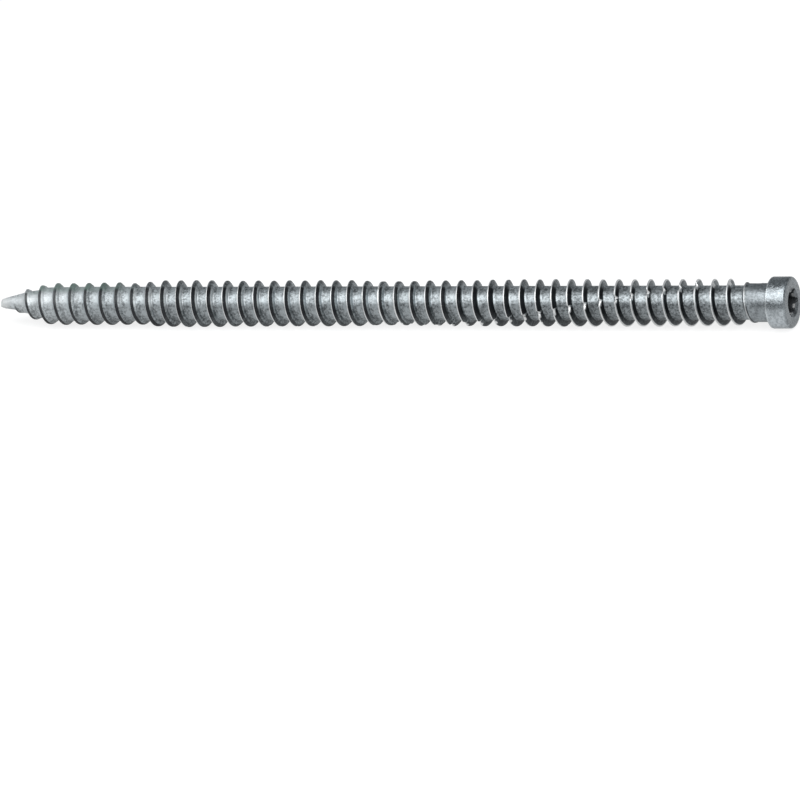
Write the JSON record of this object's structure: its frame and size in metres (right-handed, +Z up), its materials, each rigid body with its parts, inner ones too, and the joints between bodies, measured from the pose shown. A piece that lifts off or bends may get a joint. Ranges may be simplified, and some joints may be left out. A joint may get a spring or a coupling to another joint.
{
  "type": "concrete screw",
  "caption": "Long cylinder-head concrete screw with a coarse rolled thread almost to the head, a blunt cone tip and a six-lobe drive recess.",
  "frame": {"origin": "bottom centre of the bounding box of the screw as it lies on a flat surface, on its head rim and on its thread", "axes": "+X along the length toward the head, +Y across, +Z up from the surface it lies on; the screw's own axis rises 0.2 degrees toward the head"},
  "size_m": [0.132, 0.0078, 0.0079],
  "materials": {
    "zinc_plated_steel": "satin"
  },
  "bodies": {
    "root": {"concrete_screw": "zinc_plated_steel"}
  },
  "joints": []
}
